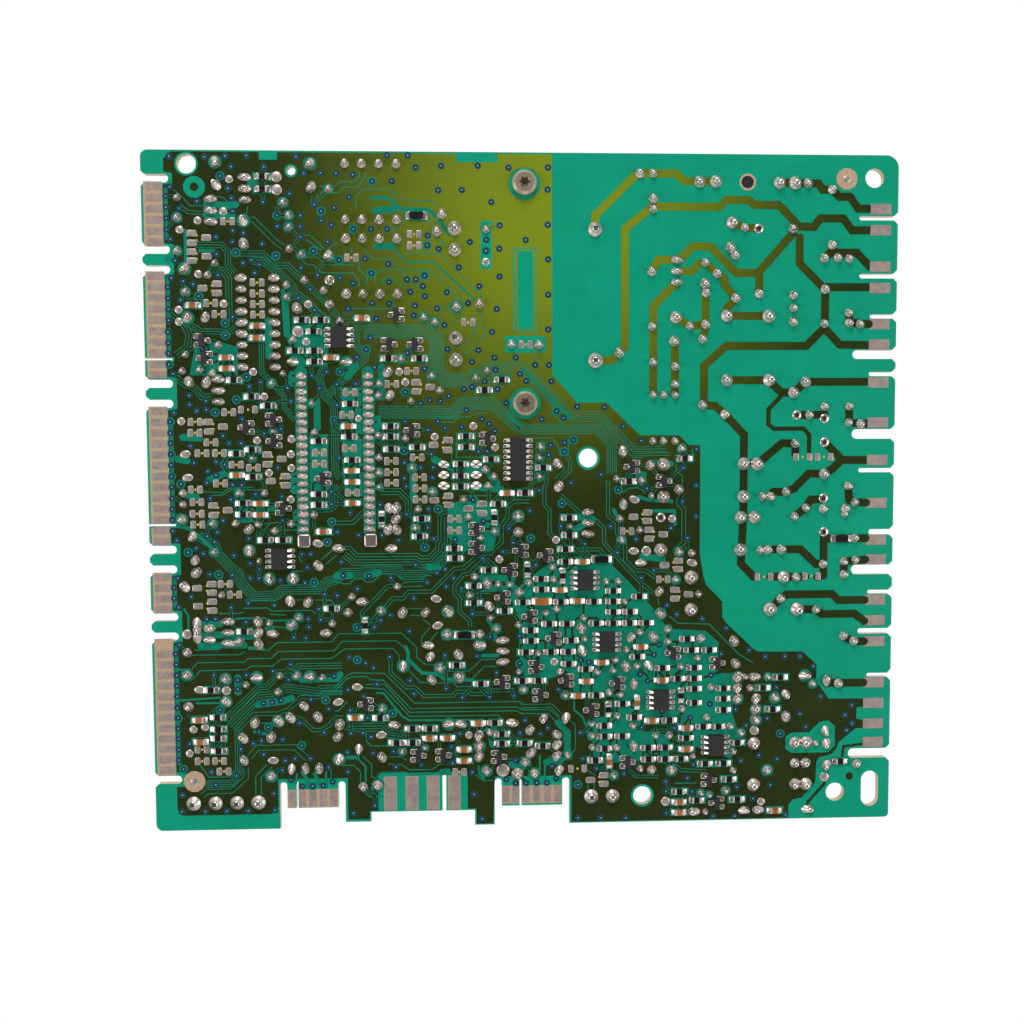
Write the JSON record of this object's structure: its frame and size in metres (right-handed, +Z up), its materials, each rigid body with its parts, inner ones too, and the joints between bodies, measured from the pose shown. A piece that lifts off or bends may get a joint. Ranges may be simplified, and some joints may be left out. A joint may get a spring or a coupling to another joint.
{
  "type": "boiler control board",
  "caption": "Printed circuit board for a boiler, solder side up, with edge contacts on three sides, surface mounted parts, and a mains transformer, relays and leaded parts beneath.",
  "frame": {"origin": "centre of the board's outline in plan, at the surface the part rests on, which is the flat underside of the mains transformer", "axes": "+Z up out of the solder side of the board, +X along the long side towards the mains edge contacts, +Y along the short side towards the transformer end"},
  "size_m": [0.175, 0.1574, 0.0416],
  "materials": {
    "laminate": "satin solder mask over glass epoxy",
    "contact_plating": "satin tinned copper",
    "housing_black": "matte",
    "potting": "satin resin",
    "core_steel": "laminated",
    "bobbin": "matte",
    "winding_copper": "enamelled wire",
    "tinned_lead": "bright tin",
    "screw_steel": "nickel plated",
    "ferrite": "matte ceramic ferrite",
    "moulded_black": "matte moulding compound",
    "relay_cover": "satin",
    "relay_base": "matte",
    "film_box": "satin",
    "glass_tube": "clear",
    "nickel_cap": "bright nickel",
    "clip_metal": "tinned spring bronze",
    "varistor_blue": "dipped epoxy",
    "can_sleeve": "sleeved can",
    "rubber_seal": "matte",
    "box_film_red": "satin",
    "resistor_body": "lacquer on ceramic",
    "tab_metal": "tinned copper tab",
    "terminal_green": "satin",
    "chip_black": "glazed ceramic",
    "chip_capacitor_body": "ceramic"
  },
  "bodies": {
    "root": {"circuit_board": "laminate", "signal_contacts": "contact_plating", "mains_contacts": "contact_plating", "transformer_housing": "housing_black", "transformer_potting": "potting", "transformer_core": "core_steel", "transformer_bobbin": "bobbin", "transformer_primary_winding": "winding_copper", "transformer_secondary_winding": "winding_copper", "transformer_pins": "tinned_lead", "transformer_screws": "screw_steel", "pulse_transformer_bobbins": "bobbin", "pulse_transformer_cores": "ferrite", "pulse_transformer_windings": "winding_copper", "pulse_transformer_pins": "tinned_lead", "microcontroller_body": "moulded_black", "microcontroller_leads": "tinned_lead", "driver_body": "moulded_black", "driver_leads": "tinned_lead", "optocoupler_bodies": "moulded_black", "optocoupler_leads": "tinned_lead", "relay_covers": "relay_cover", "relay_bases": "relay_base", "relay_coils": "winding_copper", "relay_cores": "core_steel", "relay_armatures": "core_steel", "relay_pins": "tinned_lead", "suppression_capacitors": "film_box", "suppression_capacitor_leads": "tinned_lead", "fuse_glass": "glass_tube", "fuse_caps": "nickel_cap", "fuse_wire": "tinned_lead", "fuse_holder_base": "housing_black", "fuse_clips": "clip_metal", "varistor_discs": "varistor_blue", "varistor_leads": "tinned_lead", "capacitor_cans": "can_sleeve", "capacitor_seals": "rubber_seal", "capacitor_leads": "tinned_lead", "film_capacitors": "box_film_red", "axial_resistors": "resistor_body", "axial_resistor_leads": "tinned_lead", "transistor_bodies": "moulded_black", "transistor_leads": "tinned_lead", "regulator_bodies": "moulded_black", "regulator_tabs": "tab_metal", "regulator_leads": "tinned_lead", "terminal_housings": "terminal_green", "terminal_clamps": "clip_metal", "terminal_screws": "screw_steel", "small_ic_bodies": "moulded_black", "small_ic_leads": "tinned_lead", "transistor_chips": "moulded_black", "transistor_chip_leads": "tinned_lead", "chip_resistors": "chip_black", "chip_capacitors": "chip_capacitor_body"}
  },
  "joints": []
}
